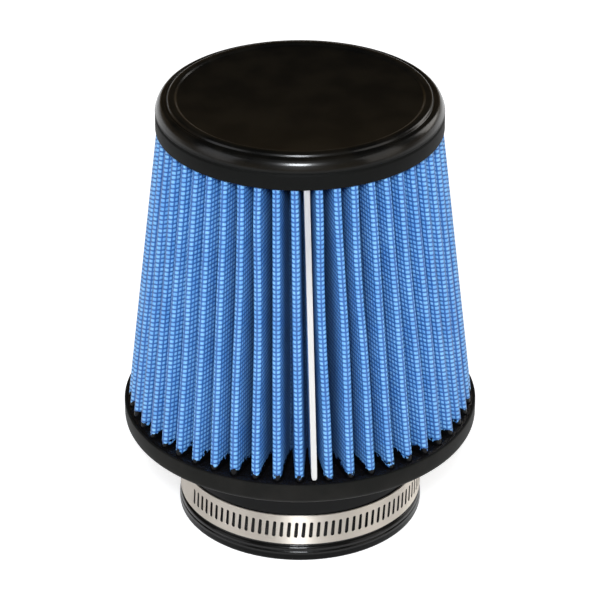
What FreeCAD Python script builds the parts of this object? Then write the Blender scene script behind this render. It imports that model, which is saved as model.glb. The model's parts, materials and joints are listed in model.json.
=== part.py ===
import FreeCAD, Part
import math
import os

Vector = FreeCAD.Vector

# Cone air filter on a clamp-on neck, in millimetres and degrees.
# It stands on the neck's lip, +Z is the axis, and the front is -Y.
# Angles are measured from the front, and grow towards +X.

# Neck and base, one moulding
bore_diameter = 88.9
neck_wall = 4.95
neck_length = 44.0
clamp_seat_height = 1.7
lip_overhang = 2.2
lip_height = 7.2
lip_round = 1.8
lip_slope = 1.8
base_diameter = 153.0
rim_height = 8.3
rim_bottom_round = 3.0
rim_wall = 1.2
inlet_flare = 6.0
inlet_flare_height = 10.0
potting_depth = 2.5
inner_land = 8.55

# Cap
filter_height = 152.4
cap_diameter = 120.8
cap_height = 13.8
cap_skirt_wall = 0.8
crease_drop = 6.2
crease_depth = 0.5
shoulder_round = 3.2
shoulder_drop = 0.9
groove_inset = 4.2
groove_depth = 1.8
bead_slope = 0.9
disc_inset = 9.2
disc_drop = 0.8

# Pleated sheet and the clip that closes its two ends
pleat_count = 49
sheet_thickness = 1.0
crest_fold_base = 2.0
crest_fold_cap = 1.5
valley_fold = 0.9
seam_angle = 4.9
seam_gap = 9.6
fin_split = 0.1
clip_wall = 0.4
clip_depth = 6.0

# Worm-drive clamp
band_width = 14.3
band_thickness = 0.65
slot_pitch = 3.2
slot_width = 1.25
slot_length = 7.4
slot_slant = 4.5
slot_start_angle = -62.0
head_reach = 10.0
tail_reach = 36.0
tail_margin = 5.0
housing_length = 15.0
housing_sheet = 0.7
flange_reach = 2.6
thread_radius = 3.9
shank_radius = 2.9
head_journal_radius = 2.5
tip_journal_radius = 2.0
hex_across_flats = 7.94
hex_height = 5.2
collar_radius = 4.2
collar_height = 1.0
driver_slot_width = 1.3
driver_slot_depth = 2.2

# Flats that stand for a round edge, a crest and a valley
round_flat_count = 2
crest_flat_count = 3
valley_flat_count = 1

# Points closer than this are one point
same_point = 1e-6

# Clearances
potting_gap = 0.2
fin_tip_gap = 0.1
clip_gap = 0.05
layer_gap = 0.05
strip_gap = 0.15
seat_gap = 0.15
lip_gap = 0.45
journal_gap = 0.05
thread_gap = 0.2
collar_gap = 0.2

# Levels and radii that the pieces share
bore_radius = bore_diameter / 2
neck_radius = bore_radius + neck_wall
seat_radius = neck_radius + clamp_seat_height
lip_radius = seat_radius + lip_overhang
base_radius = base_diameter / 2
rim_top = neck_length + rim_height
media_bottom = rim_top - potting_depth
cap_radius = cap_diameter / 2
groove_radius = cap_radius - groove_inset
disc_radius = cap_radius - disc_inset
cap_top = neck_length + filter_height
skirt_bottom = cap_top - cap_height
media_top = skirt_bottom + potting_depth
base_trough_outer = base_radius - rim_wall
cap_trough_outer = cap_radius - cap_skirt_wall
crest_base = base_trough_outer - potting_gap
crest_cap = cap_trough_outer - potting_gap
pleat_depth = crest_base - bore_radius - inner_land
band_bottom = lip_height + lip_gap + housing_sheet + strip_gap
band_top = band_bottom + band_width
band_middle = band_bottom + band_width / 2
seat_top = band_top + strip_gap + housing_sheet + seat_gap
band_inner = seat_radius + seat_gap + housing_sheet + strip_gap
layer_pitch = band_thickness + layer_gap
band_outer = band_inner + layer_pitch + band_thickness
passage_inner = band_inner - strip_gap
passage_outer = band_outer + strip_gap
screw_axis_y = band_outer + thread_gap + thread_radius
tunnel_radius = thread_radius + thread_gap
dome_radius = tunnel_radius + housing_sheet
flat_count = round(2 * math.pi * (band_inner + layer_pitch) / slot_pitch)
flat_angle = 360 / flat_count


def plan(radius, angle, z, sideways=0.0):
    """Point at a radius and an angle from the front, shifted along the circle's tangent."""
    turn = math.radians(angle)
    x = radius * math.sin(turn) + sideways * math.cos(turn)
    y = sideways * math.sin(turn) - radius * math.cos(turn)
    return Vector(x, y, z)


def eased_outline(corners):
    """Closed wire in the XZ plane through (radius, height, rounding) corners, each rounding in flats."""
    points = [Vector(r, 0, z) for r, z, rounding in corners]
    outline = []
    for i, (r, z, rounding) in enumerate(corners):
        if rounding == 0:
            outline.append(points[i])
            continue
        back = (points[i - 1] - points[i]).normalize()
        ahead = (points[(i + 1) % len(points)] - points[i]).normalize()
        half = back.getAngle(ahead) / 2
        centre = points[i] + (back + ahead).normalize() * (rounding / math.sin(half))
        enter = points[i] + back * (rounding / math.tan(half)) - centre
        turn = 180 - math.degrees(2 * half)
        for step in range(round_flat_count + 1):
            bend = FreeCAD.Rotation(ahead.cross(back), turn * step / round_flat_count)
            point = centre + bend.multVec(enter)
            if not point.isEqual(outline[-1], same_point):
                outline.append(point)
    return Part.makePolygon(outline + outline[:1])


def turned(corners, start=0.0, sweep=360.0):
    """Solid of revolution about +Z from an outline in the XZ plane."""
    face = Part.Face(eased_outline(corners))
    face.rotate(Vector(0, 0, 0), Vector(0, 0, 1), start)
    return face.revolve(Vector(0, 0, 0), Vector(0, 0, 1), sweep)


def rod(radius, x_start, x_end):
    """Cylinder along the clamp screw's axis between two x positions."""
    foot = Vector(x_start, screw_axis_y, band_middle)
    return Part.makeCylinder(radius, x_end - x_start, foot, Vector(1, 0, 0))


def make_base_flange():
    """Neck with lip and clamp seat, base plate and rim, and a flared inlet, moulded in one."""
    return turned([
        (bore_radius, 0, 0),
        (lip_radius, 0, lip_round),
        (lip_radius, lip_height - lip_slope, 0),
        (seat_radius, lip_height, 0),
        (seat_radius, seat_top, 0),
        (neck_radius, seat_top + clamp_seat_height, 0),
        (neck_radius, neck_length, 0),
        (base_radius, neck_length, rim_bottom_round),
        (base_radius, rim_top, 0),
        (base_trough_outer, rim_top, 0),
        (base_trough_outer, media_bottom, 0),
        (bore_radius + inlet_flare, media_bottom, 0),
        (bore_radius, media_bottom - inlet_flare_height, 0),
    ])


def make_top_cap():
    """Cap with a plain disc, a ring bead and groove round it, and a plain skirt below a crease."""
    shoulder = cap_top - shoulder_drop
    crease = cap_top - crease_drop
    return turned([
        (0, cap_top - disc_drop, 0),
        (disc_radius, cap_top - disc_drop, 0),
        (disc_radius + disc_drop, cap_top, 0),
        (groove_radius - bead_slope, cap_top, 0),
        (groove_radius, cap_top - groove_depth, 0),
        (cap_radius - shoulder_round, shoulder, 0),
        (cap_radius, shoulder, shoulder_round),
        (cap_radius, crease + crease_depth, 0),
        (cap_radius - crease_depth, crease, 0),
        (cap_radius, crease - crease_depth, 0),
        (cap_radius, skirt_bottom, 0),
        (cap_trough_outer, skirt_bottom, 0),
        (cap_trough_outer, media_top, 0),
        (0, media_top, 0),
    ])


def crest_radius(z):
    """Outer radius of the pleat crests at a height."""
    share = (z - media_bottom) / (media_top - media_bottom)
    return crest_base + (crest_cap - crest_base) * share


def fin_offset():
    """Distance from the seam's mid plane to the middle of either end of the sheet."""
    return (fin_split + sheet_thickness) / 2


def fin_tip(z):
    """Radius at which the two ends of the sheet stop, inside the clip's back."""
    return crest_radius(z) - clip_wall - fin_tip_gap


def sheet_folds(z, crest_fold):
    """Folds in order round the sheet, each a centre, a radius, a turn sign and a number of flats."""
    half = sheet_thickness / 2
    crest_ring = crest_radius(z) - crest_fold - half
    valley_ring = crest_radius(z) - pleat_depth + valley_fold + half
    beside_seam = fin_offset() + valley_fold
    pitch = (360 - seam_gap) / (pleat_count - 1)
    folds = [(plan(valley_ring, seam_angle, z, beside_seam), valley_fold, -1, valley_flat_count)]
    for i in range(pleat_count):
        angle = seam_angle + seam_gap / 2 + i * pitch
        folds.append((plan(crest_ring, angle, z), crest_fold, 1, crest_flat_count))
        if i < pleat_count - 1:
            middle = angle + pitch / 2
            folds.append((plan(valley_ring, middle, z), valley_fold, -1, valley_flat_count))
    folds.append((plan(valley_ring, seam_angle, z, -beside_seam), valley_fold, -1, valley_flat_count))
    return folds


def flank_normals(folds):
    """Left-hand normals of the straight runs before, between and after the folds."""
    along_seam = plan(0, seam_angle, 0, 1)
    normals = [along_seam * -1]
    for (centre, radius, sign, flats), following in zip(folds, folds[1:]):
        step = following[0] - centre
        lean = math.asin((radius + following[1]) / step.Length)
        heading = math.atan2(step.y, step.x) + sign * lean
        normals.append(Vector(-math.sin(heading), math.cos(heading), 0))
    normals.append(along_seam)
    return normals


def sheet_side(z, folds, offset):
    """Points along one side of the sheet, from one end at the seam round to the other."""
    normals = flank_normals(folds)
    points = [plan(fin_tip(z), seam_angle, z, fin_offset()) + normals[0] * offset]
    for i, (centre, radius, sign, flats) in enumerate(folds):
        enter = normals[i] * (offset - sign * radius)
        turn = math.degrees(normals[i].getAngle(normals[i + 1]))
        for step in range(flats + 1):
            bend = FreeCAD.Rotation(Vector(0, 0, 1), sign * turn * step / flats)
            points.append(centre + bend.multVec(enter))
    points.append(plan(fin_tip(z), seam_angle, z, -fin_offset()) + normals[-1] * offset)
    return points


def sheet_section(z, crest_fold):
    """Points round the section of the pleated sheet at a height."""
    folds = sheet_folds(z, crest_fold)
    outside = sheet_side(z, folds, -sheet_thickness / 2)
    inside = sheet_side(z, folds, sheet_thickness / 2)
    return outside + inside[::-1]


def flat_face(points):
    """Flat face inside a closed loop of points."""
    return Part.Face(Part.makePolygon(points + points[:1]))


def make_pleated_media():
    """Folded sheet with its ends turned out at the seam, in triangles because its flanks twist."""
    low = sheet_section(media_bottom, crest_fold_base)
    high = sheet_section(media_top, crest_fold_cap)
    faces = [flat_face(low), flat_face(high)]
    for i in range(len(low)):
        faces.append(flat_face([low[i - 1], low[i], high[i]]))
        faces.append(flat_face([low[i - 1], high[i], high[i - 1]]))
    return Part.makeSolid(Part.makeShell(faces))


def clip_section(z):
    """Section of the folded strip that holds the sheet's two ends together."""
    inner = fin_offset() + sheet_thickness / 2 + clip_gap
    outer = inner + clip_wall
    back = crest_radius(z)
    floor = back - clip_wall
    mouth = back - clip_depth
    corners = [(mouth, inner), (mouth, outer), (back, outer), (back, -outer)]
    corners += [(mouth, -outer), (mouth, -inner), (floor, -inner), (floor, inner)]
    points = [plan(radius, seam_angle, z, side) for radius, side in corners]
    return Part.makePolygon(points + points[:1])


def make_seam_clip():
    """Sheet-metal strip crimped over the seam, from trough to trough."""
    return Part.makeLoft([clip_section(media_bottom), clip_section(media_top)], True, True)


def strip_radius(angle):
    """Inner radius of the strip, which climbs one layer on its way from the front to its lap."""
    climb = angle / (180 - head_reach)
    return band_inner + layer_pitch * min(max(climb, 0), 1)


def slot_cutter(angle):
    """Slanted cutter through the flat of the strip whose middle is at an angle."""
    depth = band_thickness + layer_gap
    middle = (strip_radius(angle) + band_thickness / 2) * math.cos(math.radians(flat_angle / 2))
    cutter = Part.makeBox(slot_width, depth, slot_length)
    cutter.translate(Vector(-slot_width / 2, -depth / 2, -slot_length / 2))
    cutter.rotate(Vector(0, 0, 0), Vector(0, 1, 0), slot_slant)
    cutter.translate(Vector(0, -middle, band_middle))
    cutter.rotate(Vector(0, 0, 0), Vector(0, 0, 1), angle)
    return cutter


def make_clamp_band():
    """Slotted strip coiled round the neck in flats one slot apart, its tail lapped over its head."""
    first = -round((180 + head_reach) / flat_angle)
    last = round((180 + tail_reach) / flat_angle)
    angles = [i * flat_angle for i in range(first, last + 1)]
    outside = [plan(strip_radius(angle) + band_thickness, angle, band_bottom) for angle in angles]
    inside = [plan(strip_radius(angle), angle, band_bottom) for angle in angles]
    outline = Part.makePolygon(outside + inside[::-1] + outside[:1])
    strip = Part.Face(outline).extrude(Vector(0, 0, band_width))
    last_slot = angles[-1] - math.degrees(tail_margin / band_outer)
    middles = [angle + flat_angle / 2 for angle in angles]
    slots = [slot_cutter(angle) for angle in middles if slot_start_angle < angle < last_slot]
    return strip.cut(Part.makeCompound(slots))


def saddle(inner, outer, low, high):
    """Curved block over the strip at the back, as long as the screw housing."""
    spread = math.degrees(math.asin(housing_length / 2 / passage_outer))
    corners = [(inner, low, 0), (outer, low, 0), (outer, high, 0), (inner, high, 0)]
    return turned(corners, 90 - spread, 2 * spread)


def arch(radius, foot_y, x_start, x_end):
    """Round-topped block along the screw's axis, down to a foot level."""
    left = Vector(x_start, screw_axis_y, band_middle - radius)
    top = Vector(x_start, screw_axis_y + radius, band_middle)
    right = Vector(x_start, screw_axis_y, band_middle + radius)
    low_right = Vector(x_start, foot_y, band_middle + radius)
    low_left = Vector(x_start, foot_y, band_middle - radius)
    edges = [Part.Arc(left, top, right).toShape()]
    for a, b in ((right, low_right), (low_right, low_left), (low_left, left)):
        edges.append(Part.LineSegment(a, b).toShape())
    return Part.Face(Part.Wire(edges)).extrude(Vector(x_end - x_start, 0, 0))


def make_clamp_housing():
    """Pressed housing: a domed tunnel for the screw on a saddle folded round the strip."""
    half = housing_length / 2
    low = band_bottom - strip_gap
    high = band_top + strip_gap
    under = passage_inner - housing_sheet
    over = passage_outer + housing_sheet
    shell = saddle(under, over, low - housing_sheet, high + housing_sheet)
    shell = shell.fuse(arch(dome_radius, passage_outer, -half, half))
    shell = shell.cut(saddle(passage_inner, passage_outer, low, high))
    shell = shell.cut(saddle(seat_radius, passage_inner, low + flange_reach, high - flange_reach))
    shell = shell.cut(arch(tunnel_radius, passage_inner, housing_sheet - half, half - housing_sheet))
    shell = shell.cut(rod(head_journal_radius + journal_gap, -half, 0))
    shell = shell.cut(rod(tip_journal_radius + journal_gap, 0, half))
    return shell.removeSplitter()


def make_clamp_screw():
    """Slotted hexagon-head worm screw on two journals, its thread left plain."""
    half = housing_length / 2
    collar_start = -half - collar_gap - collar_height
    hex_start = collar_start - hex_height
    corner = hex_across_flats / 2 / math.cos(math.radians(30))
    ring = []
    for i in range(7):
        turn = math.radians(60 * i)
        y = screw_axis_y + corner * math.cos(turn)
        z = band_middle + corner * math.sin(turn)
        ring.append(Vector(hex_start, y, z))
    head = Part.Face(Part.makePolygon(ring)).extrude(Vector(hex_height, 0, 0))
    slot = Part.makeBox(driver_slot_depth, 2 * corner, driver_slot_width)
    slot.translate(Vector(hex_start, screw_axis_y - corner, band_middle - driver_slot_width / 2))
    shank_end = half - housing_sheet - collar_gap
    screw = head.cut(slot).fuse([
        rod(collar_radius, collar_start, collar_start + collar_height),
        rod(head_journal_radius, collar_start, 0),
        rod(shank_radius, -shank_end, shank_end),
        rod(tip_journal_radius, 0, half),
    ])
    return screw.removeSplitter()


def main():
    """Build every piece and write one file for each."""
    os.makedirs("parts", exist_ok=True)
    pieces = {
        "base_flange": make_base_flange(),
        "top_cap": make_top_cap(),
        "pleated_media": make_pleated_media(),
        "seam_clip": make_seam_clip(),
        "clamp_band": make_clamp_band(),
        "clamp_housing": make_clamp_housing(),
        "clamp_screw": make_clamp_screw(),
    }
    for name, shape in pieces.items():
        solids = shape.Solids
        print(name, len(solids), "solid", shape.isValid(), round(shape.Volume, 1), shape.BoundBox)
        body = solids[0] if len(solids) == 1 else shape
        body.exportStep("parts/" + name + ".step")


main()
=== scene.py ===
"""Cone air filter with a pleated gauze pack and a worm-drive clamp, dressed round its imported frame.

Lengths are metres, +Z is the filter's axis and the front is -Y. Angles are degrees from the front
and grow towards +X.
"""
from __future__ import annotations

import json
import logging
import math
from dataclasses import dataclass, field
from enum import Enum
from typing import Any, Sequence, Union

import bmesh
import bpy
from mathutils import Matrix, Vector, noise


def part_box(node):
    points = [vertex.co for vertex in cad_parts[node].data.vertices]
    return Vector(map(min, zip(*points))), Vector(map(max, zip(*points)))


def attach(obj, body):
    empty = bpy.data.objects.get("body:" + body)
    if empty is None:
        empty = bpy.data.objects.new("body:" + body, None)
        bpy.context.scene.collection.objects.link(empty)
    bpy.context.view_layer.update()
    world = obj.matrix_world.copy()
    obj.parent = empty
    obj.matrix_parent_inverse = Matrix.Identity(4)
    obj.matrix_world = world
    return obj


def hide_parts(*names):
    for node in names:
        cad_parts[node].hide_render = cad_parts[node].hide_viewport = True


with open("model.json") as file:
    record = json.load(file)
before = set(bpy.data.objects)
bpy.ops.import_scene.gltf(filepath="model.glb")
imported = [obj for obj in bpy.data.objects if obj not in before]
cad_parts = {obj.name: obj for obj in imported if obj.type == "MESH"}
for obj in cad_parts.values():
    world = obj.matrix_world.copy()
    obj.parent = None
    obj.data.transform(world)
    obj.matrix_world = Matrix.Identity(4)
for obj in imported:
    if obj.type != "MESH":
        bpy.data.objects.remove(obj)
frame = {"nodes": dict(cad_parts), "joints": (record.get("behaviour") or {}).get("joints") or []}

LOG = logging.getLogger("cone_filter")
MM = 0.001
WELD = 2e-6
SPIN_STEPS = 192
SHARP_ANGLE = math.radians(40)
Z_AXIS = Vector((0, 0, 1))
Colour = tuple[float, float, float, float]


class Body(Enum):
    """Bodies of the frame that a piece can ride on."""

    FILTER = "filter"
    SCREW = "screw"


class Slot(Enum):
    """Material slots of the record."""

    BASE = "moulded_base"
    CAP = "moulded_cap"
    GAUZE = "filter_gauze"
    SEAM = "seam_metal"
    CLAMP = "clamp_steel"
    SCREW = "screw_steel"


def srgb(red: int, green: int, blue: int) -> Colour:
    """Turn an 8-bit display colour into the linear colour that a shader takes.

    Args:
        red: Red from 0 to 255.
        green: Green from 0 to 255.
        blue: Blue from 0 to 255.

    Returns:
        Linear red, green, blue and an alpha of 1.
    """
    linear = []
    for channel in (red, green, blue):
        share = channel / 255
        linear.append(share / 12.92 if share <= 0.04045 else ((share + 0.055) / 1.055) ** 2.4)
    return linear[0], linear[1], linear[2], 1.0


def plan(radius: float, angle: float, height: float, sideways: float = 0.0) -> Vector:
    """Place a point round the filter's axis.

    Args:
        radius: Distance from the axis.
        angle: Angle from the front, in degrees.
        height: Height above the neck's foot.
        sideways: Shift along the circle's tangent.

    Returns:
        The point.
    """
    turn = math.radians(angle)
    x = radius * math.sin(turn) + sideways * math.cos(turn)
    y = sideways * math.sin(turn) - radius * math.cos(turn)
    return Vector((x, y, height))


# Shader maths


class Value:
    """A shader socket that Python expressions can use."""

    def __init__(self, graph: Graph, socket: bpy.types.NodeSocket) -> None:
        """Keep the graph and the socket."""
        self.graph = graph
        self.socket = socket

    def __add__(self, other: Operand) -> Value:
        """Sum of two values."""
        return self.graph.math("ADD", self, other)

    def __radd__(self, other: Operand) -> Value:
        """Sum with a number in front."""
        return self.graph.math("ADD", other, self)

    def __sub__(self, other: Operand) -> Value:
        """Difference of two values."""
        return self.graph.math("SUBTRACT", self, other)

    def __rsub__(self, other: Operand) -> Value:
        """Difference with a number in front."""
        return self.graph.math("SUBTRACT", other, self)

    def __mul__(self, other: Operand) -> Value:
        """Product of two values."""
        return self.graph.math("MULTIPLY", self, other)

    def __rmul__(self, other: Operand) -> Value:
        """Product with a number in front."""
        return self.graph.math("MULTIPLY", other, self)


Operand = Union[Value, float, int]


class Graph:
    """Node tree of one material or world, with one way to add any node."""

    def __init__(self, tree: bpy.types.NodeTree) -> None:
        """Start from an empty tree."""
        self.tree = tree
        tree.nodes.clear()

    def node(
        self,
        kind: str,
        settings: dict[str, Any] | None = None,
        inputs: dict[str | int, Any] | None = None,
        output: str | int = 0,
    ) -> Value:
        """Add a node, set it up and link it.

        Args:
            kind: Blender's type name of the node.
            settings: Properties, which are set first.
            inputs: Socket names or numbers with their values or links.
            output: Name or number of the output to return.

        Returns:
            The chosen output, or the first input of a node without outputs.
        """
        made = self.tree.nodes.new(kind)
        for key, setting in (settings or {}).items():
            setattr(made, key, setting)
        for key, given in (inputs or {}).items():
            if isinstance(given, Value):
                self.tree.links.new(given.socket, made.inputs[key])
            else:
                made.inputs[key].default_value = given
        return Value(self, made.outputs[output] if made.outputs else made.inputs[0])

    def math(self, operation: str, first: Operand, second: Operand = 0.0) -> Value:
        """Add a Math node.

        Args:
            operation: Name of the operation.
            first: First operand.
            second: Second operand.

        Returns:
            The result.
        """
        return self.node("ShaderNodeMath", {"operation": operation}, {0: first, 1: second})

    def fade(self, value: Value, low: float, high: float) -> Value:
        """Rise smoothly from 0 at one value to 1 at another.

        Args:
            value: The value that drives the rise.
            low: Value at which the rise starts.
            high: Value at which it ends, which may be lower than the start.

        Returns:
            A value from 0 to 1.
        """
        backwards = low > high
        start, end = (high, low) if backwards else (low, high)
        rise = self.node(
            "ShaderNodeMapRange",
            {"interpolation_type": "SMOOTHSTEP"},
            {"Value": value, "From Min": start, "From Max": end},
        )
        return 1 - rise if backwards else rise

    def mix(self, share: Operand, first: Value | Colour, second: Value | Colour) -> Value:
        """Mix two colours.

        Args:
            share: Share of the second colour.
            first: First colour.
            second: Second colour.

        Returns:
            The mixed colour.
        """
        return self.node("ShaderNodeMix", {"data_type": "RGBA"}, {0: share, 6: first, 7: second}, 2)

    def place(self) -> Value:
        """Position in the piece's own frame."""
        return self.node("ShaderNodeTexCoord", output="Object")

    def axis(self, vector: Value, name: str) -> Value:
        """One coordinate of a vector, by the name X, Y or Z."""
        return self.node("ShaderNodeSeparateXYZ", None, {0: vector}, name)

    def grain(self, vector: Value, scale: float, detail: float = 2.0) -> Value:
        """Soft noise from 0 to 1 on a vector."""
        inputs = {"Vector": vector, "Scale": scale, "Detail": detail}
        return self.node("ShaderNodeTexNoise", None, inputs, 0)

    def stretched(self, vector: Value, scale: tuple[float, float, float]) -> Value:
        """Scale a vector along its axes."""
        return self.node("ShaderNodeMapping", None, {"Vector": vector, "Scale": scale})

    def bump(self, height: Value, depth: float, strength: float = 1.0) -> Value:
        """Turn a height from 0 to 1 into a normal, with a depth in metres."""
        inputs = {"Height": height, "Distance": depth, "Strength": strength}
        return self.node("ShaderNodeBump", None, inputs)

    def ray(self, kind: str) -> Value:
        """One of the marks of the ray that looks at the surface."""
        return self.node("ShaderNodeLightPath", output=kind)

    def mirrored(self) -> Value:
        """Whether a mirror or glass looks at the surface."""
        return self.math("MAXIMUM", self.ray("Is Glossy Ray"), self.ray("Is Transmission Ray"))

    def surface(self, inputs: dict[str | int, Any]) -> None:
        """Close the tree with a Principled shader that takes the given inputs."""
        shader = self.node("ShaderNodeBsdfPrincipled", None, inputs)
        self.node("ShaderNodeOutputMaterial", None, {"Surface": shader})


class Finish:
    """A named finish that makes its material once and gives it to every piece that wears it."""

    name: str = "finish"

    def __init__(self) -> None:
        """Start with no material."""
        self._made: bpy.types.Material | None = None

    def material(self) -> bpy.types.Material:
        """Make the material at the first call and hand it out from then on.

        Returns:
            The material.
        """
        if self._made is None:
            self._made = bpy.data.materials.new(self.name)
            self._made.use_nodes = True
            self.paint(Graph(self._made.node_tree))
        return self._made

    def paint(self, graph: Graph) -> None:
        """Fill the material's tree."""
        raise NotImplementedError


class BaseMoulding(Finish):
    """Black polyurethane of the base: satin on the neck and lip, matte and paler on the rim."""

    name = "base_moulding"
    neck = srgb(10, 10, 10)
    rim = srgb(22, 22, 20)
    rim_pale = srgb(31, 30, 28)
    matte_from = -1.0 * MM
    matte_to = 1.4 * MM
    sheen_rise = (3.0 * MM, 4.0 * MM)
    sheen_fall = (12 * MM, 16 * MM)

    def __init__(self, plate: float) -> None:
        """Keep the height of the base plate's underside."""
        super().__init__()
        self.plate = plate

    def paint(self, graph: Graph) -> None:
        """Change from satin to matte above the base plate's edge, and grain the rim.

        Args:
            graph: The material's node tree.
        """
        place = graph.place()
        height = graph.axis(place, "Z")
        matte = graph.fade(height, self.plate + self.matte_from, self.plate + self.matte_to)
        worn = graph.fade(height, *self.sheen_rise) - 0.72 * graph.fade(height, *self.sheen_fall)
        mottle = graph.grain(place, 80, 4)
        grain = graph.grain(place, 1500, 3)
        swirl = graph.grain(place, 34, 3)
        rubbed = graph.mix(graph.fade(mottle, 0.35, 0.7), self.rim, self.rim_pale)
        graph.surface({
            "Base Color": graph.mix(matte, self.neck, rubbed),
            "Roughness": 0.3 + 0.1 * swirl + matte * (0.16 + 0.12 * mottle),
            "Specular IOR Level": 0.08,
            "Coat Weight": 0.45 * worn * (1 - matte),
            "Coat Roughness": 0.12,
            "Normal": graph.bump(grain * (0.12 + 0.5 * matte) + swirl * 0.4, 0.05 * MM, 0.45),
        })


class CapMoulding(Finish):
    """Black polyurethane, glossy above the crease of the cap and matte on the skirt."""

    name = "cap_moulding"
    gloss = srgb(9, 9, 8)
    gloss_pale = srgb(20, 18, 14)
    matte = srgb(16, 17, 16)
    gloss_from = 2.4 * MM
    gloss_to = 0.6 * MM

    def __init__(self, crease: float) -> None:
        """Keep the height of the crease."""
        super().__init__()
        self.crease = crease

    def paint(self, graph: Graph) -> None:
        """Change from gloss to matte at the crease.

        Args:
            graph: The material's node tree.
        """
        place = graph.place()
        height = graph.axis(place, "Z")
        skirt = graph.fade(height, self.crease + self.gloss_from, self.crease + self.gloss_to)
        mottle = graph.grain(place, 70, 4)
        grain = graph.grain(place, 1700, 3)
        swirl = graph.grain(place, 26, 3)
        shiny = graph.mix(graph.fade(mottle, 0.34, 0.66), self.gloss, self.gloss_pale)
        graph.surface({
            "Base Color": graph.mix(skirt, shiny, graph.mix(mottle, self.gloss, self.matte)),
            "Roughness": 0.3 + 0.1 * swirl + skirt * (0.2 + 0.1 * mottle),
            "Specular IOR Level": 0.08,
            "Coat Weight": 0.68 - 0.68 * skirt,
            "Coat Roughness": 0.19,
            "Normal": graph.bump(grain * (0.06 + 0.5 * skirt) + swirl * 0.5, 0.06 * MM, 0.4),
        })


class Potting(Finish):
    """Glossy black casting compound that holds the pleats."""

    name = "potting_compound"
    tone = srgb(9, 9, 10)
    pale = srgb(22, 20, 21)

    def paint(self, graph: Graph) -> None:
        """Ripple the poured surface.

        Args:
            graph: The material's node tree.
        """
        place = graph.place()
        ripple = graph.grain(place, 320, 3)
        bubble = graph.grain(place, 900, 2)
        graph.surface({
            "Base Color": graph.mix(ripple, self.tone, self.pale),
            "Roughness": 0.14 + 0.2 * ripple,
            "Specular IOR Level": 0.22,
            "Normal": graph.bump(ripple * 0.6 + bubble * 0.4, 0.9 * MM, 0.9),
        })


@dataclass(frozen=True)
class Cone:
    """The cone on which the pleats' crests lie: its foot's height and radius, and its taper."""

    foot: float
    foot_radius: float
    taper: float


class WireGauze(Finish):
    """Blue cotton gauze that bulges through a fine wire screen, with its lower end soaked black."""

    name = "wire_gauze"
    # Cloth colour at the cells' centres, which also carries a painted highlight on the bulges
    cell = srgb(140, 202, 252)
    cell_deep = srgb(104, 172, 238)
    wire = srgb(46, 106, 182)
    wire_deep = srgb(30, 76, 146)
    # Painted shade: the navy that the cloth turns towards the pleats' valleys
    valley_shade = srgb(26, 34, 66)
    soaked = srgb(9, 9, 11)
    valley_shade_depth = (2.0 * MM, 13.0 * MM)
    valley_shade_share = 0.66
    soak_sag = 0.16 * MM
    soak_ragged = 2.6 * MM
    soak_edge = 0.5 * MM

    def __init__(self, uv_name: str, crest: float, cone: Cone, soak_height: float) -> None:
        """Keep where the sheet's crests are and how high the compound soaks it.

        Args:
            uv_name: Name of the sheet's own map, in wire cells.
            crest: Place of the crest in that map.
            cone: The cone on which the crests lie.
            soak_height: Height of the soaking at the crests.
        """
        super().__init__()
        self.uv_name = uv_name
        self.crest = crest
        self.cone = cone
        self.soak_height = soak_height

    def paint(self, graph: Graph) -> None:
        """Weave the screen in wire cells, vary the dye, paint shade into the folds and soak the lower end.

        Args:
            graph: The material's node tree.
        """
        weave = graph.node("ShaderNodeUVMap", {"uv_map": self.uv_name})
        across = graph.axis(weave, "X")
        along = graph.axis(weave, "Y")
        place = graph.place()
        from_warp = graph.math("PINGPONG", across, 0.5)
        from_weft = graph.math("PINGPONG", along, 0.5)
        # The colour rises smoothly from the darker wires to each cell's centre: the screen's
        # wire-and-cloth pattern, with a painted highlight on each cell's bulge
        bulge = graph.fade(from_warp, 0.0, 0.3) * graph.fade(from_weft, 0.02, 0.36)
        fibre = graph.grain(graph.stretched(place, (1, 1, 0.5)), 800, 3)
        dye = graph.grain(place, 60, 3)
        cloth = graph.mix(graph.fade(fibre * 0.6 + dye * 0.4, 0.36, 0.64), self.cell_deep, self.cell)
        lines = graph.mix(dye, self.wire_deep, self.wire)
        height = graph.axis(place, "Z")
        flat = graph.stretched(place, (1, 1, 0))
        radius = graph.node("ShaderNodeVectorMath", {"operation": "LENGTH"}, {0: flat}, "Value")
        # Painted shade: the cloth darkens with depth below the crests' cone, standing in for the shade
        # inside the folds
        depth = self.cone.foot_radius - (height - self.cone.foot) * self.cone.taper - radius
        valley_shading = self.valley_shade_share * graph.fade(depth, *self.valley_shade_depth)
        aside = graph.math("MINIMUM", graph.math("ABSOLUTE", across - self.crest), 3.0)
        ragged = graph.fade(graph.grain(place, 420, 3), 0.3, 0.7)
        edge = height - aside * aside * self.soak_sag - ragged * self.soak_ragged
        soak = graph.fade(edge, self.soak_height, self.soak_height - self.soak_edge)
        colour = graph.mix(valley_shading, graph.mix(bulge, lines, cloth), self.valley_shade)
        dry = graph.node("ShaderNodeBsdfPrincipled", None, {
            "Base Color": colour,
            "Roughness": 0.42,
            "Specular IOR Level": 0.5,
            "Normal": graph.bump(bulge * 0.8 + fibre * 0.2, 0.3 * MM, 0.7),
        })
        wet = graph.node("ShaderNodeBsdfPrincipled", None, {
            "Base Color": self.soaked,
            "Roughness": 0.24,
            "Specular IOR Level": 0.14,
        })
        both = graph.node("ShaderNodeMixShader", None, {0: soak, 1: dry, 2: wet})
        graph.node("ShaderNodeOutputMaterial", None, {"Surface": both})


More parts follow.
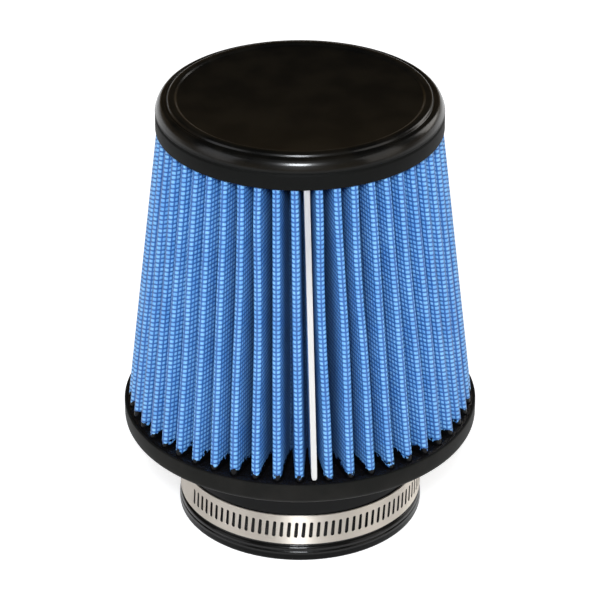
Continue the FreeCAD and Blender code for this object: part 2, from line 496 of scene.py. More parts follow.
class SeamMetal(Finish):
    """Pale rolled strip with faint lengthwise lines and painted shade that darkens it towards the top."""

    name = "seam_metal"
    # Dull colour at the top of the strip, which is painted shade
    dull = srgb(184, 184, 187)
    pale = srgb(217, 215, 212)
    top_shade_rise = (122 * MM, 166 * MM)

    def paint(self, graph: Graph) -> None:
        """Draw the strip's rolling lines along its length and paint shade that darkens it towards the top.

        Args:
            graph: The material's node tree.
        """
        place = graph.place()
        lines = graph.grain(graph.stretched(place, (1, 1, 0.02)), 2600, 2)
        cloud = graph.grain(place, 45, 3)
        # Painted shade: the strip turns from pale to dull over its upper part, with a cloudy variation
        top_shade = graph.fade(graph.axis(place, "Z"), *self.top_shade_rise) * (0.7 + 0.3 * cloud)
        graph.surface({
            "Base Color": graph.mix(top_shade, self.pale, self.dull),
            "Metallic": 0.25,
            "Roughness": 0.38 + 0.14 * lines,
            "Normal": graph.bump(lines, 0.02 * MM, 0.4),
        })


class BandSteel(Finish):
    """Satin stainless strip, brushed along its length, with painted shade on the walls of its slots."""

    name = "band_steel"
    dull = srgb(192, 184, 174)
    bright = srgb(224, 217, 207)
    # Painted shade: near black for the walls inside the slots
    slot_shade = srgb(24, 21, 19)

    def __init__(self, uv_name: str, wall_name: str) -> None:
        """Keep the names of what the strip's mesh carries.

        Args:
            uv_name: Name of the strip's own map, in millimetres.
            wall_name: Name of the attribute that marks the slots' walls.
        """
        super().__init__()
        self.uv_name = uv_name
        self.wall_name = wall_name

    def paint(self, graph: Graph) -> None:
        """Brush the strip along its own map and paint shade on the slots' walls.

        Args:
            graph: The material's node tree.
        """
        run = graph.node("ShaderNodeUVMap", {"uv_map": self.uv_name})
        wall = graph.node("ShaderNodeAttribute", {"attribute_name": self.wall_name}, output="Fac")
        brush = graph.grain(graph.stretched(run, (0.03, 1, 1)), 3.2, 3)
        cloud = graph.grain(graph.place(), 60, 3)
        steel = graph.mix(brush * 0.6 + cloud * 0.4, self.dull, self.bright)
        # Painted shade on the slots' walls, which also get less metal and more roughness
        graph.surface({
            "Base Color": graph.mix(wall, steel, self.slot_shade),
            "Metallic": 1 - 0.9 * wall,
            "Roughness": 0.42 + 0.08 * brush + 0.2 * wall,
            "Anisotropic": 0.95,
            "Anisotropic Rotation": 0.25,
            "Normal": graph.bump(brush, 0.02 * MM, 0.5),
        })


class PressedSteel(Finish):
    """Bright pressed sheet steel of the screw's housing."""

    name = "pressed_steel"
    dull = srgb(206, 200, 192)
    bright = srgb(228, 224, 218)

    def paint(self, graph: Graph) -> None:
        """Cloud the sheet and grain it finely.

        Args:
            graph: The material's node tree.
        """
        place = graph.place()
        cloud = graph.grain(place, 110, 3)
        drawn = graph.grain(graph.stretched(place, (0.06, 1, 1)), 2600, 2)
        graph.surface({
            "Base Color": graph.mix(cloud, self.dull, self.bright),
            "Metallic": 0.9,
            "Roughness": 0.24 + 0.14 * drawn + 0.06 * cloud,
            "Normal": graph.bump(drawn, 0.012 * MM, 0.5),
        })


class PlatedSteel(Finish):
    """Plated steel of the screw, with turning marks round its axis."""

    name = "plated_steel"
    dull = srgb(186, 182, 172)
    bright = srgb(212, 208, 200)

    def paint(self, graph: Graph) -> None:
        """Ring the surface with fine turning marks.

        Args:
            graph: The material's node tree.
        """
        place = graph.place()
        marks = graph.grain(graph.stretched(place, (1, 0.05, 0.05)), 3200, 2)
        stain = graph.grain(place, 260, 3)
        graph.surface({
            "Base Color": graph.mix(stain, self.dull, self.bright),
            "Metallic": 0.92,
            "Roughness": 0.28 + 0.12 * marks,
            "Normal": graph.bump(marks, 0.02 * MM, 0.5),
        })


# Mesh helpers


@dataclass(frozen=True)
class Corner:
    """Corner of a turned outline, with the radius that rounds it."""

    radius: float
    height: float
    rounding: float = 0.0


def ease(bm: bmesh.types.BMesh, vert: bmesh.types.BMVert, reach: float, segments: int) -> None:
    """Round one corner of a wire.

    Args:
        bm: The mesh.
        vert: The corner.
        reach: How far the rounding runs back along either side.
        segments: Number of segments in the rounding.
    """
    bmesh.ops.bevel(
        bm,
        geom=[vert],
        offset=reach,
        offset_type="OFFSET",
        segments=segments,
        profile=0.5,
        affect="VERTICES",
        material=-1,
    )


def soften(bm: bmesh.types.BMesh, width: float, segments: int, least_angle: float) -> None:
    """Bevel every edge that is sharper than an angle.

    Args:
        bm: The mesh.
        width: Width of the bevel.
        segments: Number of segments in the bevel.
        least_angle: Least angle between the edge's faces, in degrees.
    """
    limit = math.radians(least_angle)
    edges = [edge for edge in bm.edges if edge.is_manifold and edge.calc_face_angle(0.0) > limit]
    bmesh.ops.bevel(
        bm,
        geom=edges,
        offset=width,
        offset_type="OFFSET",
        segments=segments,
        profile=0.5,
        affect="EDGES",
        clamp_overlap=True,
        material=-1,
    )


def settle(bm: bmesh.types.BMesh) -> None:
    """Weld doubles, clear slivers and point the faces outwards.

    Args:
        bm: The mesh.
    """
    bmesh.ops.remove_doubles(bm, verts=bm.verts[:], dist=WELD)
    bmesh.ops.dissolve_degenerate(bm, edges=bm.edges[:], dist=WELD)
    bmesh.ops.recalc_face_normals(bm, faces=bm.faces[:])


def turned(corners: Sequence[Corner], segments: int = 5) -> bmesh.types.BMesh:
    """Turn a closed outline once round the filter's axis.

    Args:
        corners: Corners of the outline, in order.
        segments: Number of segments in each rounding.

    Returns:
        The mesh.
    """
    bm = bmesh.new()
    points = [Vector((corner.radius, 0, corner.height)) for corner in corners]
    verts = [bm.verts.new(point) for point in points]
    for i, vert in enumerate(verts):
        if corners[i - 1].radius > 0 or corners[i].radius > 0:
            bm.edges.new((verts[i - 1], vert))
    for i, corner in enumerate(corners):
        if corner.rounding > 0:
            back = points[i - 1] - points[i]
            ahead = points[(i + 1) % len(points)] - points[i]
            ease(bm, verts[i], corner.rounding / math.tan(back.angle(ahead) / 2), segments)
    bmesh.ops.spin(
        bm,
        geom=bm.verts[:] + bm.edges[:],
        axis=Z_AXIS,
        angle=math.tau,
        steps=SPIN_STEPS,
        use_merge=True,
    )
    settle(bm)
    return bm


def walk(start: bmesh.types.BMVert) -> list[bmesh.types.BMVert]:
    """Follow an open wire from one of its ends.

    Args:
        start: The vert at that end.

    Returns:
        The verts in order.
    """
    chain = [start]
    last = None
    while True:
        ahead = [edge for edge in chain[-1].link_edges if edge is not last]
        if not ahead:
            return chain
        last = ahead[0]
        chain.append(last.other_vert(chain[-1]))


def wire(
    bm: bmesh.types.BMesh, points: Sequence[Vector], reaches: Sequence[float], segments: int
) -> list[bmesh.types.BMVert]:
    """Add an open wire with rounded inner corners.

    Args:
        bm: The mesh.
        points: Points of the wire.
        reaches: How far the rounding of each inner point runs along its sides.
        segments: Number of segments in each rounding.

    Returns:
        The verts in order.
    """
    verts = [bm.verts.new(point) for point in points]
    for first, second in zip(verts, verts[1:]):
        bm.edges.new((first, second))
    for vert, reach in zip(verts[1:-1], reaches):
        ease(bm, vert, reach, segments)
    return walk(verts[0])


def piece(name: str, bm: bmesh.types.BMesh, finish: Finish, body: Body) -> bpy.types.Object:
    """Make an object of a mesh, dress it and let it ride on a body.

    Args:
        name: Name of the piece.
        bm: The mesh, which is freed.
        finish: The finish that it wears.
        body: The body that it rides on.

    Returns:
        The object.
    """
    mesh = bpy.data.meshes.new(name)
    bm.to_mesh(mesh)
    bm.free()
    mesh.shade_smooth()
    mesh.set_sharp_from_angle(angle=SHARP_ANGLE)
    mesh.materials.append(finish.material())
    made = bpy.data.objects.new(name, mesh)
    bpy.context.scene.collection.objects.link(made)
    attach(made, body.value)
    LOG.info("%s: %d faces on %s", name, len(mesh.polygons), body.value)
    return made


# Sub-assemblies

# Inset from the cap's side, drop from its top and rounding, in millimetres: disc, bead, groove and roll
CAP_ROLL = (
    (9.2, 0.8, 0.9),
    (8.2, 0.0, 0.9),
    (5.55, 0.0, 1.2),
    (4.6, 1.6, 0.5),
    (3.8, 0.95, 0.7),
    (2.5, 1.15, 1.6),
    (1.15, 2.7, 5.0),
    (0.2, 5.0, 6.0),
)


@dataclass
class Mouldings:
    """The moulded base with its neck, the moulded cap, and the compound poured round the pleats."""

    bore: float = 44.45 * MM
    neck: float = 49.4 * MM
    seat: float = 51.1 * MM
    lip: float = 53.3 * MM
    lip_height: float = 7.2 * MM
    foot_chamfer: float = 1.0 * MM
    groove_height: float = 4.9 * MM
    groove_half: float = 0.4 * MM
    groove_depth: float = 0.5 * MM
    bead_inset: float = 0.25 * MM
    seat_end: float = 24.2 * MM
    seat_swell: float = 0.95 * MM
    free_angle: float = 158.0
    swell_fade: float = 15.0
    plate: float = 44.0 * MM
    rim_wall: float = 1.2 * MM
    overflow: float = 0.9 * MM
    floor: float = 49.8 * MM
    flare: float = 6.0 * MM
    flare_height: float = 10.0 * MM
    skirt_wall: float = 0.8 * MM
    crease_drop: float = 6.9 * MM
    crease_depth: float = 0.5 * MM
    crease_half: float = 0.85 * MM
    crease_lip: float = 0.05 * MM
    roof_drop: float = 11.3 * MM
    pour_gap: float = 0.02 * MM
    pour_inset: float = 0.6 * MM
    pour_rise: float = 0.3 * MM
    potting: Finish = field(default_factory=Potting)

    def __post_init__(self) -> None:
        """Take the outer sizes from the frame."""
        base_low, base_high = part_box("base_flange")
        cap_low, cap_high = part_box("top_cap")
        self.rim = base_high.x
        self.rim_top = base_high.z
        self.cap = cap_high.x
        self.cap_top = cap_high.z
        self.skirt_end = cap_low.z
        self.crease = self.cap_top - self.crease_drop
        self.glossy = CapMoulding(self.crease)
        self.matte = BaseMoulding(self.plate)

    def build_base(self) -> None:
        """Turn the neck, lip, clamp seat, base plate and rim in one piece."""
        bead = self.lip - self.bead_inset
        inside = self.rim - self.rim_wall
        brim = self.rim_top + self.overflow
        bm = turned([
            Corner(self.bore + self.foot_chamfer, 0),
            Corner(self.lip, 0, 1.6 * MM),
            Corner(self.lip, self.groove_height - self.groove_half, 1.1 * MM),
            Corner(self.lip - self.groove_depth, self.groove_height, 0.2 * MM),
            Corner(bead, self.groove_height + self.groove_half, 0.3 * MM),
            Corner(bead, self.lip_height, 1.5 * MM),
            Corner(self.seat, self.lip_height, 0.3 * MM),
            Corner(self.seat, self.seat_end, 0.9 * MM),
            Corner(self.neck, self.plate, 4.0 * MM),
            Corner(self.rim, self.plate, 2.6 * MM),
            Corner(self.rim, brim, 0.5 * MM),
            Corner(inside, brim, 0.4 * MM),
            Corner(inside, self.floor),
            Corner(self.bore + self.flare, self.floor, 1.5 * MM),
            Corner(self.bore, self.floor - self.flare_height, 6.0 * MM),
            Corner(self.bore, self.foot_chamfer),
        ])
        self.squeeze(bm)
        made = piece("base_moulding", bm, self.matte, Body.FILTER)
        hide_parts("base_flange")

    def squeeze(self, bm: bmesh.types.BMesh) -> None:
        """Press the clamp seat out against the strip, and leave room for the housing at the back.

        Args:
            bm: The turned base.
        """
        low = self.lip_height + 0.05 * MM
        high = self.seat_end + 1.0 * MM
        outermost = self.seat + 0.4 * MM
        for vert in bm.verts:
            radius = vert.co.xy.length
            if self.neck < radius < outermost and low < vert.co.z < high:
                share = min((radius - self.neck) / (self.seat - self.neck), 1.0)
                behind = abs(math.degrees(math.atan2(vert.co.x, -vert.co.y)))
                clear = min(max((self.free_angle - behind) / self.swell_fade, 0.0), 1.0)
                vert.co += vert.co.xy.normalized().to_3d() * self.seat_swell * share * clear

    def build_cap(self) -> None:
        """Turn the disc, bead, groove, shoulder and skirt of the cap."""
        top = self.cap_top
        radius = self.cap
        inside = radius - self.skirt_wall
        roof = top - self.roof_drop
        roll = [(inset * MM, drop * MM, rounding * MM) for inset, drop, rounding in CAP_ROLL]
        bm = turned([
            Corner(0, top - roll[0][1]),
            *(Corner(radius - inset, top - drop, rounding) for inset, drop, rounding in roll),
            Corner(radius, self.crease + self.crease_half, 0.5 * MM),
            Corner(radius - self.crease_depth, self.crease, 0.3 * MM),
            Corner(radius - self.crease_lip, self.crease - self.crease_half, 0.4 * MM),
            Corner(radius, self.skirt_end, 0.3 * MM),
            Corner(inside, self.skirt_end, 0.25 * MM),
            Corner(inside, roof),
            Corner(0, roof),
        ])
        made = piece("cap_moulding", bm, self.glossy, Body.FILTER)
        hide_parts("top_cap")

    def build_potting(self) -> None:
        """Pour the compound that fills the rim between the pleats."""
        outer = self.rim - self.rim_wall - self.pour_gap
        inner = self.bore + self.flare + self.pour_inset
        foot = self.floor + self.pour_gap
        brim = self.rim_top + self.overflow
        level = brim + self.pour_rise
        bm = turned([
            Corner(inner, foot),
            Corner(outer, foot),
            Corner(outer, brim - 0.25 * MM),
            Corner(outer - 1.3 * MM, level, 1.0 * MM),
            Corner(inner + 1.0 * MM, level - 0.5 * MM, 0.6 * MM),
            Corner(inner, level - 1.0 * MM),
        ])
        piece("base_potting", bm, self.potting, Body.FILTER)


@dataclass
class PleatPack:
    """The folded gauze sheet and the metal clip that closes its seam."""

    count: int = 49
    depth: float = 22.1 * MM
    thickness: float = 1.0 * MM
    base_inset: float = 1.4 * MM
    cap_inset: float = 1.0 * MM
    soak_rise: float = 2.5 * MM
    crest_half_base: float = 1.35 * MM
    crest_half_cap: float = 1.12 * MM
    valley_half: float = 0.8 * MM
    seam_angle: float = 4.9
    seam_gap: float = 9.6
    fin_offset: float = 0.55 * MM
    fin_round: float = 0.4 * MM
    clip_half: float = 1.18 * MM
    clip_wall: float = 0.4 * MM
    clip_depth: float = 6.0 * MM
    clip_lift: float = 2.2 * MM
    clip_easing: float = 0.26 * MM
    clip_tip: tuple[tuple[float, float], ...] = (
        (0.0, 0.4), (0.25, 0.66), (0.6, 0.84), (1.1, 0.95), (1.8, 1.0),
    )
    cell: float = 1.96 * MM
    cells_across: int = 24
    rows: int = 26
    lean_base: float = -0.2
    lean_cap: float = -2.3
    fold_segments: int = 4
    fold_share: float = 0.97
    sway: float = 1.3 * MM
    sway_apart: float = 3.7
    sway_seed: float = 0.4
    sway_rate: float = 14.0
    sway_hold: float = 0.6
    uv_name: str = "screen_cells"
    metal: Finish = field(default_factory=SeamMetal)

    def __post_init__(self) -> None:
        """Take the ends and radii of the sheet from the frame."""
        low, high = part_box("pleated_media")
        base_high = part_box("base_flange")[1]
        cap_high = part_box("top_cap")[1]
        self.bottom = low.z
        self.top = high.z
        self.rim_top = base_high.z
        self.crest_base = base_high.x - self.base_inset
        self.crest_cap = cap_high.x - self.cap_inset
        self.pitch = (360 - self.seam_gap) / (self.count - 1)
        taper = (self.crest_base - self.crest_cap) / (self.top - self.bottom)
        cone = Cone(self.bottom, self.crest_base, taper)
        soak = self.rim_top + self.soak_rise
        self.gauze = WireGauze(self.uv_name, self.cells_across / 2, cone, soak)

    def crest(self, height: float) -> float:
        """Radius of the crests' outer face at a height."""
        share = (height - self.bottom) / (self.top - self.bottom)
        return self.crest_base + (self.crest_cap - self.crest_base) * share

    def middle_radii(self, height: float) -> tuple[float, float]:
        """Radii of the sheet's middle at crest and valley at a height."""
        outer = self.crest(height) - self.thickness / 2
        return outer, outer - self.depth + self.thickness

    def pleat_points(self, height: float, crest_half: float) -> list[Vector]:
        """Corners of one pleat, from valley to valley, at a height.

        Args:
            height: The height.
            crest_half: Half the width of the crest.

        Returns:
            The six points.
        """
        outer, inner = self.middle_radii(height)
        half = self.pitch / 2
        return [
            plan(inner, -half, height),
            plan(inner, -half, height, self.valley_half),
            plan(outer, 0, height, -crest_half),
            plan(outer, 0, height, crest_half),
            plan(inner, half, height, -self.valley_half),
            plan(inner, half, height),
        ]

    def fin_points(self, height: float) -> list[Vector]:
        """Corners of one end of the sheet, from its valley out to its edge in the clip.

        Args:
            height: The height.

        Returns:
            The three points.
        """
        outer, inner = self.middle_radii(height)
        aside = (self.seam_gap - self.pitch) / 2
        edge = outer - self.clip_wall
        return [
            plan(inner, self.seam_angle + aside, height),
            plan(inner, self.seam_angle, height, self.fin_offset),
            plan(edge, self.seam_angle, height, self.fin_offset),
        ]

    def loft(
        self,
        bm: bmesh.types.BMesh,
        ends: Sequence[Sequence[Vector]],
        reaches: Sequence[Sequence[float]],
        cells: int,
    ) -> None:
        """Span the sheet between a wire at the base and one at the cap, and map it in wire cells.

        Args:
            bm: The mesh, which holds nothing else yet.
            ends: Points of the two wires.
            reaches: Reaches of the roundings of the two wires.
            cells: Number of wire cells across the sheet.
        """
        along = bm.verts.layers.float.new("along")
        edges = []
        for points, eased in zip(ends, reaches):
            chain = wire(bm, points, eased, self.fold_segments)
            run = 0.0
            for before, vert in zip([chain[0]] + chain, chain):
                run += (vert.co - before.co).length
                vert[along] = run
            for vert in chain:
                vert[along] = vert[along] / run * cells
            edges += {edge for vert in chain for edge in vert.link_edges}
        bmesh.ops.bridge_loops(bm, edges=edges)
        upright = [edge for edge in bm.edges if edge not in set(edges)]
        bmesh.ops.subdivide_edges(bm, edges=upright, cuts=self.rows - 1, use_grid_fill=True)
        weave = bm.loops.layers.uv.new(self.uv_name)
        for face in bm.faces:
            for loop in face.loops:
                loop[weave].uv = (loop.vert[along], loop.vert.co.z / self.cell)
        bm.verts.layers.float.remove(along)

    def build_sheet(self) -> None:
        """Fold one pleat, repeat it round the axis and close both ends at the seam."""
        bm = bmesh.new()
        halves = (self.crest_half_base, self.crest_half_cap)
        ends = [self.pleat_points(height, half) for height, half in zip((self.bottom, self.top), halves)]
        valley = self.valley_half
        reaches = [[self.fold_share * w for w in (valley, half, half, valley)] for half in halves]
        self.loft(bm, ends, reaches, self.cells_across)
        first = Matrix.Rotation(math.radians(self.seam_angle + self.seam_gap / 2), 4, "Z")
        bmesh.ops.rotate(bm, verts=bm.verts[:], cent=(0, 0, 0), matrix=first)
        bmesh.ops.spin(
            bm,
            geom=bm.verts[:] + bm.edges[:] + bm.faces[:],
            axis=Z_AXIS,
            angle=math.radians(self.pitch * (self.count - 1)),
            steps=self.count - 1,
            use_duplicate=True,
        )
        self.add_fins(bm)
        bmesh.ops.remove_doubles(bm, verts=bm.verts[:], dist=20 * WELD)
        bmesh.ops.recalc_face_normals(bm, faces=bm.faces[:])
        self.unsettle(bm)
        made = piece("gauze_pleats", bm, self.gauze, Body.FILTER)
        wall = made.modifiers.new("sheet", "SOLIDIFY")
        wall.thickness = self.thickness
        wall.offset = 0.0
        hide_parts("pleated_media")

    def add_fins(self, bm: bmesh.types.BMesh) -> None:
        """Turn the sheet's two ends out towards the clip.

        Args:
            bm: The mesh that holds the pleats.
        """
        fin = bmesh.new()
        ends = [self.fin_points(height) for height in (self.bottom, self.top)]
        self.loft(fin, ends, [[self.fin_round]] * 2, self.cells_across // 2)
        mesh = bpy.data.meshes.new("fin")
        fin.to_mesh(mesh)
        seam = Matrix.Rotation(math.radians(self.seam_angle), 4, "Z")
        mirror = seam @ Matrix.Scale(-1, 4, Vector((1, 0, 0))) @ seam.inverted()
        bm.from_mesh(mesh)
        mesh.transform(mirror)
        bm.from_mesh(mesh)
        bpy.data.meshes.remove(mesh)
        fin.free()

    def unsettle(self, bm: bmesh.types.BMesh) -> None:
        """Let the crests sway between their cast ends, each pleat in its own way.

        Args:
            bm: The folded sheet.
        """
        first = self.seam_angle + self.seam_gap / 2
        for vert in bm.verts:
            outer, inner = self.middle_radii(vert.co.z)
            out = (vert.co.xy.length - inner) / (outer - inner)
            angle = math.degrees(math.atan2(vert.co.x, -vert.co.y))
            pleat = round((angle - first) / self.pitch)
            share = (vert.co.z - self.bottom) / (self.top - self.bottom)
            held = math.sin(math.pi * share) ** self.sway_hold if 0 < share < 1 else 0.0
            spot = Vector((self.sway_apart * pleat, self.sway_seed, self.sway_rate * vert.co.z))
            drift = noise.noise(spot)
            vert.co += plan(0, angle, 0, self.sway * held * drift * min(max(out, 0.0), 1.0))
        self.lean(bm)

    def lean(self, bm: bmesh.types.BMesh) -> None:
        """Twist a piece of the pack slightly from the base to the cap.

        Args:
            bm: The piece.
        """
        for vert in bm.verts:
            share = (vert.co.z - self.bottom) / (self.top - self.bottom)
            turn = self.lean_base + (self.lean_cap - self.lean_base) * share
            vert.co.rotate(Matrix.Rotation(math.radians(turn), 3, "Z"))

    def clip_ring(self, bm: bmesh.types.BMesh, height: float, share: float) -> list[bmesh.types.BMVert]:
        """Add the clip's section at a height.

        Args:
            bm: The mesh.
            height: The height.
            share: Share of its full width that the section has there.

        Returns:
            The section's verts in order.
        """
        outer = self.clip_half
        inner = outer - self.clip_wall
        back = self.crest(height)
        mouth = back - self.clip_depth
        floor = back - self.clip_wall
        section = [(mouth, inner), (mouth, outer), (back, outer), (back, -outer)]
        section += [(mouth, -outer), (mouth, -inner), (floor, -inner), (floor, inner)]
        points = [plan(radius, self.seam_angle, height, side * share) for radius, side in section]
        return [bm.verts.new(point) for point in points]

    def build_clip(self) -> None:
        """Fold the metal strip over the sheet's two ends, with a rounded lower tip."""
        bm = bmesh.new()
        foot = self.rim_top + self.clip_lift
        rings = [self.clip_ring(bm, foot + rise * MM, share) for rise, share in self.clip_tip]
        rings.append(self.clip_ring(bm, self.top, 1.0))
        for low, high in zip(rings, rings[1:]):
            for i in range(len(low)):
                bm.faces.new((low[i - 1], low[i], high[i], high[i - 1]))
        bm.faces.new(rings[0])
        bm.faces.new(rings[-1])
        bmesh.ops.recalc_face_normals(bm, faces=bm.faces[:])
        soften(bm, self.clip_easing, 3, 50)
        self.lean(bm)
        made = piece("seam_strip", bm, self.metal, Body.FILTER)
        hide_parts("seam_clip")


@dataclass
class WormClamp:
    """The slotted strip round the neck, its pressed housing and the worm screw."""

    strip_inner: float = 52.1 * MM
    strip_thickness: float = 0.65 * MM
    layer_pitch: float = 0.7 * MM
    slot_pitch: float = 3.2 * MM
    slot_width: float = 1.55 * MM
    slot_length: float = 7.7 * MM
    slot_slant: float = 4.5
    slot_start: float = -62.0
    slot_segments: int = 12
    strip_easing: float = 0.09 * MM
    wall_margin: float = 0.5 * MM
    wall_tilt: float = 0.3
    head_reach: float = 10.0
    tail_reach: float = 36.0
    tail_margin: float = 5.0 * MM
    thread_root: float = 2.85 * MM
    thread_crest: float = 3.7 * MM
    thread_pitch: float = 3.2 * MM
    thread_turns: int = 3
    thread_steps: int = 40
    thread_half: float = 0.42
    thread_flat: float = 0.3
    flat_angle: float = 1.0
    edge_angle: float = 38.0
    housing_easing: float = 0.16 * MM
    screw_easing: float = 0.22 * MM
    uv_name: str = "strip_run"
    wall_name: str = "slot_wall"
    pressed: Finish = field(default_factory=PressedSteel)
    plated: Finish = field(default_factory=PlatedSteel)

    def __post_init__(self) -> None:
        """Take the strip's edges and the screw's axis from the frame."""
        low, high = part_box("clamp_band")
        self.strip_low = low.z
        self.strip_high = high.z
        circle = math.tau * (self.strip_inner + self.layer_pitch)
        self.per_turn = round(circle / self.slot_pitch)
        self.step = 360 / self.per_turn
        self.axis = Vector(frame["joints"][0]["pos_m"])
        self.brushed = BandSteel(self.uv_name, self.wall_name)

    def strip_radius(self, angle: float) -> float:
        """Inner radius of the strip, which climbs one layer on its way from the front to its lap."""
        climb = angle / (180 - self.head_reach)
        return self.strip_inner + self.layer_pitch * min(max(climb, 0.0), 1.0)

    def slot_cell(self, bm: bmesh.types.BMesh, left: float) -> None:
        """Add one flat length of strip with a round-ended slanted slot.

        Args:
            bm: The mesh.
            left: Where the length starts along the strip.
        """
        around = [bm.verts.new((x, 0, z)) for x, z in self.cell_rim(left)]
        rim = [bm.edges.new((around[i - 1], vert)) for i, vert in enumerate(around)]
        half = self.slot_width / 2
        ring = bmesh.ops.create_circle(bm, segments=self.slot_segments, radius=half)["verts"]
        straight = (self.slot_length - self.slot_width) / 2
        turn = Matrix.Rotation(math.radians(self.slot_slant), 4, "Y")
        for vert in ring:
            x, y, _ = vert.co
            lift = straight if y > 0 else -straight
            vert.co = Vector((x, 0, y + lift))
        middle = Vector((left + self.slot_pitch / 2, 0, (self.strip_low + self.strip_high) / 2))
        bmesh.ops.transform(bm, matrix=Matrix.Translation(middle) @ turn, verts=ring)
        edges = rim + list({edge for vert in ring for edge in vert.link_edges})
        bmesh.ops.triangle_fill(bm, use_beauty=True, use_dissolve=False, edges=edges, normal=(0, -1, 0))

    def cell_rim(self, left: float) -> list[tuple[float, float]]:
        """Points round a flat length of strip, with two more on each long edge for the bend.

        Args:
            left: Where the length starts along the strip.

        Returns:
            Places along and across the strip.
        """
        width = self.slot_pitch
        xs = [left, left + width / 3, left + 2 * width / 3, left + width]
        return [(x, self.strip_low) for x in xs] + [(x, self.strip_high) for x in reversed(xs)]

    def build_strip(self) -> None:
        """Punch the flat strip, give it its thickness and coil it round the neck."""
        bm = bmesh.new()
        first = -round((180 + self.head_reach) / self.step)
        last = round((180 + self.tail_reach) / self.step)
        stop = last * self.step - math.degrees(self.tail_margin / self.strip_inner)
        for i in range(first, last):
            left = i * self.slot_pitch
            if self.slot_start < (i + 0.5) * self.step < stop:
                self.slot_cell(bm, left)
            else:
                bm.faces.new([bm.verts.new((x, 0, z)) for x, z in self.cell_rim(left)])
        bmesh.ops.remove_doubles(bm, verts=bm.verts[:], dist=WELD)
        for face in bm.faces:
            if face.normal.y > 0:
                face.normal_flip()
        bmesh.ops.solidify(bm, geom=bm.faces[:], thickness=self.strip_thickness)
        bmesh.ops.recalc_face_normals(bm, faces=bm.faces[:])
        soften(bm, self.strip_easing, 1, 60)
        run = bm.loops.layers.uv.new(self.uv_name)
        wall = bm.faces.layers.float.new(self.wall_name)
        for face in bm.faces:
            middle = face.calc_center_median()
            inside = min(middle.z - self.strip_low, self.strip_high - middle.z) > self.wall_margin
            face[wall] = float(inside and abs(face.normal.y) < self.wall_tilt)
            for loop in face.loops:
                loop[run].uv = (loop.vert.co.x / MM, loop.vert.co.z / MM)
        nearest = min(vert.co.y for vert in bm.verts)
        for vert in bm.verts:
            angle = vert.co.x / self.slot_pitch * self.step
            out = self.strip_thickness - (vert.co.y - nearest)
            vert.co = plan(self.strip_radius(angle) + out, angle, vert.co.z)
        bmesh.ops.recalc_face_normals(bm, faces=bm.faces[:])
        made = piece("slotted_strip", bm, self.brushed, Body.FILTER)
        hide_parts("clamp_band")

    def build_thread(self) -> None:
        """Wind the worm's thread round the screw's shank."""
        bm = bmesh.new()
        half = self.thread_pitch * self.thread_half
        flat = half * self.thread_flat
        start = -self.thread_turns * self.thread_pitch / 2
        ridge = [(-half, self.thread_root), (-flat, self.thread_crest)]
        ridge += [(flat, self.thread_crest), (half, self.thread_root)]
        points = [Vector((start + x, self.axis.y + radius, self.axis.z)) for x, radius in ridge]
        section = bm.faces.new([bm.verts.new(point) for point in points])
        bmesh.ops.spin(
            bm,
            geom=[section],
            cent=self.axis,
            axis=(1, 0, 0),
            dvec=(self.thread_pitch / self.thread_steps, 0, 0),
            angle=math.tau * self.thread_turns,
            steps=self.thread_turns * self.thread_steps,
        )
        bmesh.ops.recalc_face_normals(bm, faces=bm.faces[:])
        piece("worm_thread", bm, self.plated, Body.SCREW)

    def eased_node(self, node: str, width: float) -> bmesh.types.BMesh:
        """Copy a node of the frame and ease its sharp edges.

        Args:
            node: Name of the node.
            width: Width of the easing.

        Returns:
            The mesh.
        """
        bm = bmesh.new()
        bm.from_mesh(frame["nodes"][node].data)
        settle(bm)
        limit = math.radians(self.flat_angle)
        bmesh.ops.dissolve_limit(bm, angle_limit=limit, verts=bm.verts[:], edges=bm.edges[:])
        soften(bm, width, 2, self.edge_angle)
        settle(bm)
        return bm

    def build_housing(self) -> None:
        """Ease the pressed housing."""
        bm = self.eased_node("clamp_housing", self.housing_easing)
        made = piece("pressed_housing", bm, self.pressed, Body.FILTER)
        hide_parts("clamp_housing")

    def build_screw(self) -> None:
        """Ease the slotted screw."""
        bm = self.eased_node("clamp_screw", self.screw_easing)
        made = piece("slotted_screw", bm, self.plated, Body.SCREW)
        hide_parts("clamp_screw")


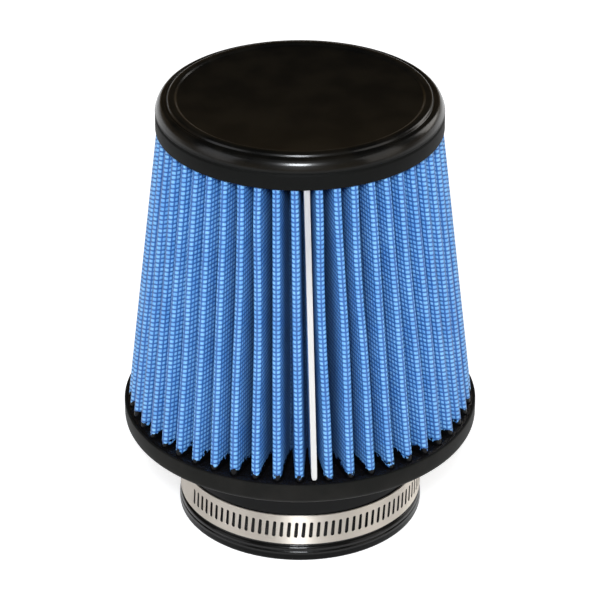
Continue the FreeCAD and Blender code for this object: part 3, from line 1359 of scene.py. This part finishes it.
@dataclass
class Studio:
    """Pale floor, soft lamps, white surroundings and the camera."""

    aim_height: float = 99.1 * MM
    distance: float = 1360 * MM
    elevation: float = 29.07
    lens: float = 189.9
    sensor: float = 36.0
    floor_size: float = 6.0
    floor_drop: float = 0.05 * MM
    floor_glow: float = 0.66
    horizon_low: float = -0.04
    horizon_high: float = 0.08
    ambient: float = 0.24
    dark_above: float = 0.44
    lit_below: float = 0.24
    room: Colour = srgb(96, 78, 50)
    overhead: Colour = srgb(20, 18, 16)
    paper: Colour = srgb(240, 240, 240)
    white: Colour = (1.0, 1.0, 1.0, 1.0)

    def build_floor(self) -> None:
        """Lay the floor and make it white to the camera while it keeps its shadow."""
        bm = bmesh.new()
        bmesh.ops.create_grid(bm, x_segments=1, y_segments=1, size=self.floor_size / 2)
        mesh = bpy.data.meshes.new("floor")
        bm.to_mesh(mesh)
        bm.free()
        material = bpy.data.materials.new("pale_floor")
        material.use_nodes = True
        graph = Graph(material.node_tree)
        seen = graph.math("MAXIMUM", graph.ray("Is Camera Ray"), graph.mirrored())
        paper = graph.node("ShaderNodeBsdfDiffuse", None, {"Color": self.paper})
        shine = {"Color": self.white, "Strength": seen * self.floor_glow}
        glow = graph.node("ShaderNodeEmission", None, shine)
        both = graph.node("ShaderNodeAddShader", None, {0: paper, 1: glow})
        graph.node("ShaderNodeOutputMaterial", None, {"Surface": both})
        mesh.materials.append(material)
        mesh.transform(Matrix.Translation((0, 0, -self.floor_drop)))
        made = bpy.data.objects.new("floor", mesh)
        bpy.context.scene.collection.objects.link(made)

    def build_world(self) -> None:
        """Surround the object with soft light, white low down and dark overhead where it is mirrored."""
        world = bpy.data.worlds.new("studio")
        world.use_nodes = True
        bpy.context.scene.world = world
        graph = Graph(world.node_tree)
        aim = graph.node("ShaderNodeTexCoord", output="Generated")
        height = graph.axis(aim, "Z")
        low = graph.fade(height, self.horizon_high, self.horizon_low)
        soft = (self.ambient, self.ambient, self.ambient, 1.0)
        wall = graph.mix(graph.fade(height, self.dark_above, self.lit_below), self.overhead, self.room)
        around = graph.mix(graph.mirrored(), soft, graph.mix(low, wall, self.white))
        colour = graph.mix(graph.ray("Is Camera Ray"), around, self.white)
        shader = graph.node("ShaderNodeBackground", None, {"Color": colour, "Strength": 1.0})
        graph.node("ShaderNodeOutputWorld", None, {"Surface": shader})

    def add_lamp(
        self, name: str, place: Vector, size: tuple[float, float], power: float, colour: Colour
    ) -> None:
        """Hang a soft lamp that points at the object.

        Args:
            name: Name of the lamp.
            place: Where it hangs.
            size: Its width and height.
            power: Its power in watts.
            colour: Its colour.
        """
        data = bpy.data.lights.new(name, "AREA")
        data.shape = "RECTANGLE"
        data.size, data.size_y = size
        data.energy = power
        data.color = colour[:3]
        lamp = bpy.data.objects.new(name, data)
        lamp.location = place
        lamp.rotation_euler = (Vector((0, 0, self.aim_height)) - place).to_track_quat("-Z", "Y").to_euler()
        bpy.context.scene.collection.objects.link(lamp)

    def light(self) -> None:
        """Hang the lamps."""
        self.add_lamp("key", Vector((-0.03, -1.3, 1.1)), (0.36, 0.32), 22, srgb(246, 250, 255))
        self.add_lamp("back", Vector((1.5, 1.1, 0.9)), (0.9, 0.9), 7, srgb(255, 252, 248))
        self.add_lamp("left", Vector((-1.5, -0.6, 0.9)), (1.0, 1.0), 3.6, srgb(250, 251, 255))
        self.add_lamp("right", Vector((1.5, -0.6, 0.9)), (1.0, 1.0), 3.6, srgb(255, 251, 246))

    def build_camera(self) -> None:
        """Set the camera at the photo's angle."""
        data = bpy.data.cameras.new("camera")
        data.lens = self.lens
        data.sensor_width = self.sensor
        data.sensor_fit = "HORIZONTAL"
        rise = math.radians(self.elevation)
        aim = Vector((0, 0, self.aim_height))
        place = aim + Vector((0, -math.cos(rise), math.sin(rise))) * self.distance
        camera = bpy.data.objects.new("camera", data)
        camera.location = place
        camera.rotation_euler = (aim - place).to_track_quat("-Z", "Y").to_euler()
        bpy.context.scene.collection.objects.link(camera)
        bpy.context.scene.camera = camera
        bpy.context.scene.view_settings.view_transform = "Standard"


def main() -> None:
    """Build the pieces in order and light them."""
    logging.basicConfig(level=logging.INFO, format="%(name)s %(message)s")
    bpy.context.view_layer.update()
    mouldings = Mouldings()
    mouldings.build_base()
    mouldings.build_cap()
    mouldings.build_potting()
    pack = PleatPack()
    pack.build_sheet()
    pack.build_clip()
    clamp = WormClamp()
    clamp.build_strip()
    clamp.build_thread()
    clamp.build_housing()
    clamp.build_screw()
    studio = Studio()
    studio.build_floor()
    studio.build_world()
    studio.light()
    studio.build_camera()


if __name__ == "__main__":
    main()
